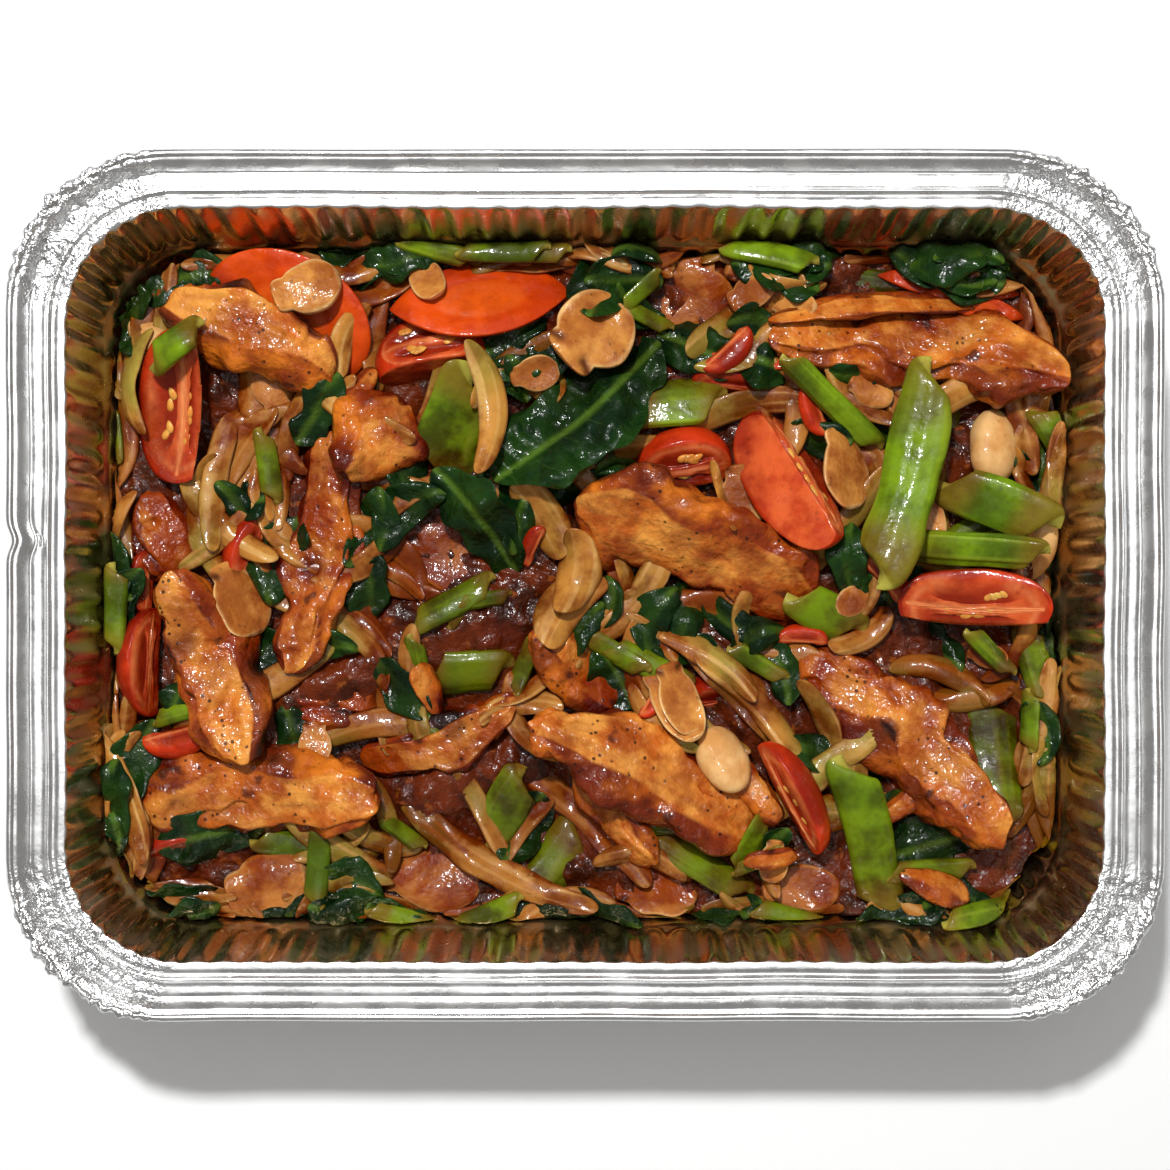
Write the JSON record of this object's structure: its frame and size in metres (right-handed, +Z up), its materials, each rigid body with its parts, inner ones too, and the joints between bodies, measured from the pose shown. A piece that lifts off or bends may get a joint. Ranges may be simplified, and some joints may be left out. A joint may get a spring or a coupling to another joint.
{
  "type": "foil tray meal",
  "caption": "Rectangular foil takeaway tray filled with a glazed chicken stir-fry of carrot, tomato, mushroom, peanuts, green stalks, dark leaves and onion.",
  "frame": {"origin": "middle of the tray's underside, on the surface it stands on", "axes": "+X along the tray's length, +Y across it, +Z up out of the open top"},
  "size_m": [0.2088, 0.1572, 0.042],
  "materials": {
    "foil": "bright pressed foil",
    "sauce": null,
    "chicken": null,
    "tomato": null,
    "carrot": null,
    "mushroom": null,
    "peanut": null,
    "stalk": null,
    "leaf": null,
    "onion": null
  },
  "bodies": {
    "root": {"tray": "foil", "bed": "sauce", "leaf_1": "leaf", "leaf_2": "leaf", "tomato_1": "tomato", "tomato_2": "tomato", "tomato_3": "tomato", "tomato_4": "tomato", "carrot_1": "carrot", "carrot_2": "carrot", "mushroom_1": "mushroom", "mushroom_2": "mushroom", "mushroom_3": "mushroom", "mushroom_4": "mushroom", "mushroom_5": "mushroom", "stalk_1": "stalk", "stalk_2": "stalk", "stalk_3": "stalk", "stalk_4": "stalk", "stalk_5": "stalk", "stalk_6": "stalk", "leaf_3": "leaf", "leaf_4": "leaf", "onion_1": "onion", "onion_2": "onion", "onion_3": "onion", "stalk_7": "stalk", "stalk_8": "stalk", "chicken_1": "chicken", "chicken_2": "chicken", "chicken_3": "chicken", "chicken_4": "chicken", "onion_4": "onion", "chicken_5": "chicken", "chicken_6": "chicken", "chicken_7": "chicken", "chicken_8": "chicken", "chicken_9": "chicken", "chicken_10": "chicken", "chicken_11": "chicken", "chicken_12": "chicken", "mushroom_6": "mushroom", "mushroom_7": "mushroom", "tomato_5": "tomato", "tomato_6": "tomato", "peanut_1": "peanut", "peanut_2": "peanut", "stalk_9": "stalk", "stalk_10": "stalk", "stalk_11": "stalk", "stalk_12": "stalk", "carrot_3": "carrot", "leaf_5": "leaf", "leaf_6": "leaf", "mushroom_8": "mushroom", "tomato_7": "tomato", "tomato_8": "tomato", "stalk_13": "stalk", "onion_5": "onion", "onion_6": "onion"}
  },
  "joints": []
}
